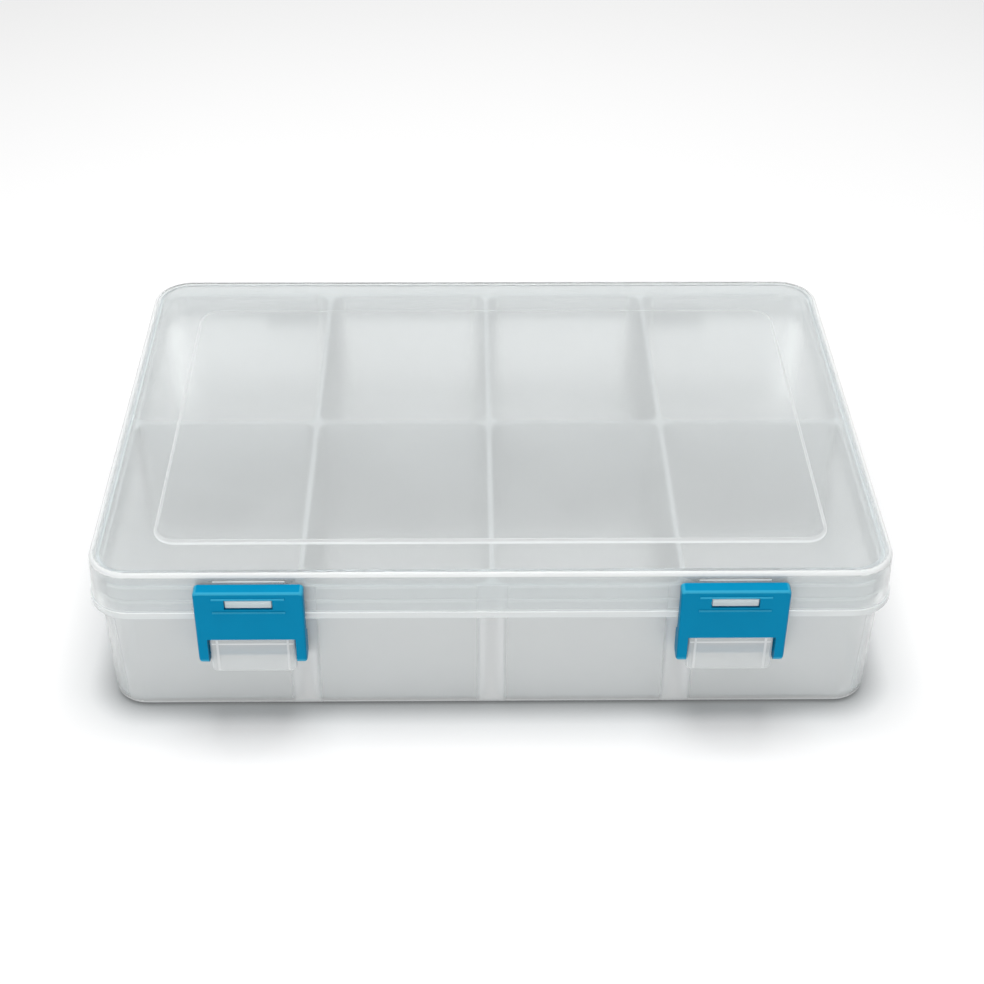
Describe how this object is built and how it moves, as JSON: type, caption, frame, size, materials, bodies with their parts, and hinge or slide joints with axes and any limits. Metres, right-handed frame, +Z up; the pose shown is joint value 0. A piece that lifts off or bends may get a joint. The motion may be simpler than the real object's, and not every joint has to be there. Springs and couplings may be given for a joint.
{
  "type": "compartment storage box",
  "caption": "Clear hinged plastic box with open compartments under a shallow lid, held shut by snap latches on its front.",
  "frame": {"origin": "middle of the tray's underside, on the surface the box stands on", "axes": "+X to the right of someone who faces the latches, along the box's length, +Y to the hinged back, +Z up through the lid"},
  "size_m": [0.2722, 0.2063, 0.062],
  "materials": {
    "clear_tray": "clear, slightly milky moulded polypropylene",
    "clear_lid": "clear, slightly milky moulded polypropylene",
    "blue_latch": "solid blue moulded plastic, satin gloss"
  },
  "bodies": {
    "tray": {"base_tray": "clear_tray"},
    "lid": {"lid": "clear_lid"},
    "latch_left": {"latch_left": "blue_latch"},
    "latch_right": {"latch_right": "blue_latch"}
  },
  "joints": [
    {"name": "lid_hinge", "type": "hinge", "parent": "tray", "child": "lid", "pos_m": [0, 0.09998, 0.04065], "axis": [-1, 0, 0], "range_deg": [0, 110]},
    {"name": "latch_left_hinge", "type": "hinge", "parent": "tray", "child": "latch_left", "pos_m": [-0.0804, -0.09789, 0.0298], "axis": [1, 0, 0], "range_deg": [0, 100]},
    {"name": "latch_right_hinge", "type": "hinge", "parent": "tray", "child": "latch_right", "pos_m": [0.0804, -0.09789, 0.0298], "axis": [1, 0, 0], "range_deg": [0, 100]}
  ]
}
